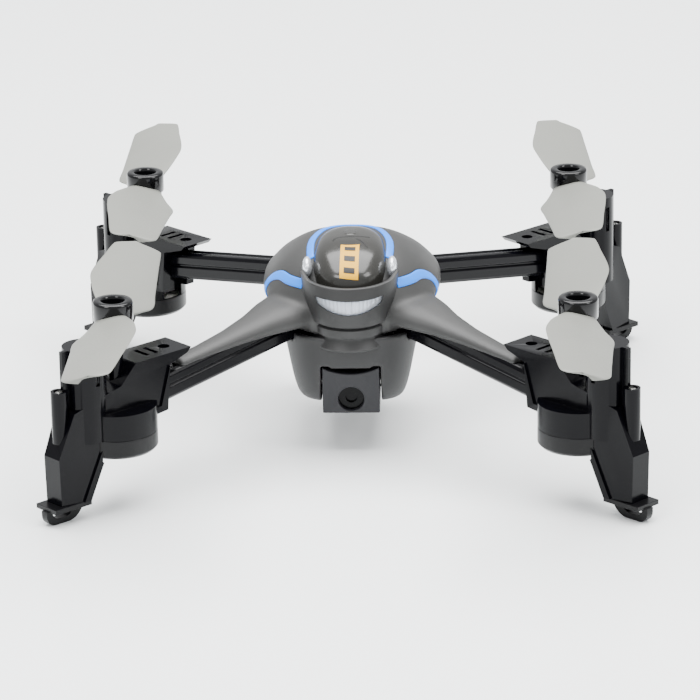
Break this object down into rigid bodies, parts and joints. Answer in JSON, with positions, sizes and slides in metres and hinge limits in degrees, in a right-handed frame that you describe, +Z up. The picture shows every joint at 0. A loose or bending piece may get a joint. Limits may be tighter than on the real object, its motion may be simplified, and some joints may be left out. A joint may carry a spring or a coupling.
{
  "type": "mini quadcopter drone",
  "caption": "Palm-size quadcopter with geared pods, paddle propellers, loop feet, smoked canopy, smile lamp, tilting camera and slide-out battery.",
  "frame": {"origin": "on the floor plane, under the middle of the four motor pods", "axes": "-Y towards the nose and camera, +Z up, +X to the right seen from the nose"},
  "size_m": [0.149, 0.2065, 0.0533],
  "materials": {
    "blade_gray": "satin moulded",
    "hub_black": "gloss moulded",
    "shaft_steel": "ground",
    "gear_nylon": "natural nylon",
    "pinion_brass": "machined",
    "motor_steel": "drawn can",
    "pod_black": "gloss moulded",
    "cap_black": "semi-gloss moulded",
    "foot_black": "semi-gloss moulded",
    "arm_black": "gloss moulded",
    "shell_gray": "fine matte",
    "lower_gray": "fine matte",
    "visor_gray": "fine matte",
    "lamp_clear": "clear moulded",
    "lamp_board": "white board",
    "canopy_smoke": "smoked gloss",
    "trim_blue": "satin painted",
    "camera_gray": "fine matte",
    "camera_glass": "coated lens",
    "board_green": "solder mask",
    "battery_wrap": "shrink wrap",
    "antenna_black": "satin moulded",
    "button_black": "semi-gloss",
    "screw_steel": "zinc plated"
  },
  "bodies": {
    "airframe": {"motor_front_right": "motor_steel", "pod_front_right": "pod_black", "gear_cap_front_right": "cap_black", "foot_front_right": "foot_black", "arm_front_right": "arm_black", "motor_front_left": "motor_steel", "pod_front_left": "pod_black", "gear_cap_front_left": "cap_black", "foot_front_left": "foot_black", "arm_front_left": "arm_black", "motor_rear_left": "motor_steel", "pod_rear_left": "pod_black", "gear_cap_rear_left": "cap_black", "foot_rear_left": "foot_black", "arm_rear_left": "arm_black", "motor_rear_right": "motor_steel", "pod_rear_right": "pod_black", "gear_cap_rear_right": "cap_black", "foot_rear_right": "foot_black", "arm_rear_right": "arm_black", "arm_cover_front_right": "shell_gray", "arm_cover_front_left": "shell_gray", "pod_screws": "screw_steel", "lower_shell": "lower_gray", "upper_shell": "shell_gray", "front_visor": "visor_gray", "headlight_lens": "lamp_clear", "headlight_board": "lamp_board", "canopy": "canopy_smoke", "trim_front": "trim_blue", "trim_rear": "trim_blue", "main_board": "board_green", "antenna": "antenna_black"},
    "propeller_front_right": {"prop_front_right": "blade_gray", "hub_cap_front_right": "hub_black", "prop_shaft_front_right": "shaft_steel", "main_gear_front_right": "gear_nylon"},
    "motor_spindle_front_right": {"pinion_front_right": "pinion_brass"},
    "propeller_front_left": {"prop_front_left": "blade_gray", "hub_cap_front_left": "hub_black", "prop_shaft_front_left": "shaft_steel", "main_gear_front_left": "gear_nylon"},
    "motor_spindle_front_left": {"pinion_front_left": "pinion_brass"},
    "propeller_rear_left": {"prop_rear_left": "blade_gray", "hub_cap_rear_left": "hub_black", "prop_shaft_rear_left": "shaft_steel", "main_gear_rear_left": "gear_nylon"},
    "motor_spindle_rear_left": {"pinion_rear_left": "pinion_brass"},
    "propeller_rear_right": {"prop_rear_right": "blade_gray", "hub_cap_rear_right": "hub_black", "prop_shaft_rear_right": "shaft_steel", "main_gear_rear_right": "gear_nylon"},
    "motor_spindle_rear_right": {"pinion_rear_right": "pinion_brass"},
    "camera": {"camera_block": "camera_gray", "camera_lens": "camera_glass", "camera_pin": "shaft_steel"},
    "battery_pack": {"battery": "battery_wrap", "battery_cap": "lower_gray"},
    "power_switch": {"power_button": "button_black"}
  },
  "joints": [
    {"name": "prop_spin_front_right", "type": "hinge", "parent": "airframe", "child": "propeller_front_right", "pos_m": [0.0555, -0.053, 0.0476], "axis": [0, 0, 1], "continuous": true},
    {"name": "spindle_spin_front_right", "type": "hinge", "parent": "airframe", "child": "motor_spindle_front_right", "pos_m": [0.06233, -0.05953, 0.0174], "axis": [0, 0, 1], "continuous": true},
    {"name": "prop_spin_front_left", "type": "hinge", "parent": "airframe", "child": "propeller_front_left", "pos_m": [-0.0555, -0.053, 0.0476], "axis": [0, 0, 1], "continuous": true},
    {"name": "spindle_spin_front_left", "type": "hinge", "parent": "airframe", "child": "motor_spindle_front_left", "pos_m": [-0.06233, -0.05953, 0.0174], "axis": [0, 0, 1], "continuous": true},
    {"name": "prop_spin_rear_left", "type": "hinge", "parent": "airframe", "child": "propeller_rear_left", "pos_m": [-0.0555, 0.053, 0.0476], "axis": [0, 0, 1], "continuous": true},
    {"name": "spindle_spin_rear_left", "type": "hinge", "parent": "airframe", "child": "motor_spindle_rear_left", "pos_m": [-0.06233, 0.05953, 0.0174], "axis": [0, 0, 1], "continuous": true},
    {"name": "prop_spin_rear_right", "type": "hinge", "parent": "airframe", "child": "propeller_rear_right", "pos_m": [0.0555, 0.053, 0.0476], "axis": [0, 0, 1], "continuous": true},
    {"name": "spindle_spin_rear_right", "type": "hinge", "parent": "airframe", "child": "motor_spindle_rear_right", "pos_m": [0.06233, 0.05953, 0.0174], "axis": [0, 0, 1], "continuous": true},
    {"name": "camera_tilt", "type": "hinge", "parent": "airframe", "child": "camera", "pos_m": [0, -0.0132, 0.017], "axis": [1, 0, 0], "range_deg": [-15, 25]},
    {"name": "battery_slide", "type": "slide", "parent": "airframe", "child": "battery_pack", "axis": [0, 1, 0], "range_m": [0, 0.03]},
    {"name": "power_press", "type": "slide", "parent": "airframe", "child": "power_switch", "axis": [0, 0, -1], "range_m": [0, 0.0008], "stiffness_N_per_m": 300, "springref_m": -0.0005}
  ],
  "couplings": [
    {"joint": "spindle_spin_front_right", "follows": "prop_spin_front_right", "ratio": -6},
    {"joint": "spindle_spin_front_left", "follows": "prop_spin_front_left", "ratio": -6},
    {"joint": "spindle_spin_rear_left", "follows": "prop_spin_rear_left", "ratio": -6},
    {"joint": "spindle_spin_rear_right", "follows": "prop_spin_rear_right", "ratio": -6}
  ]
}
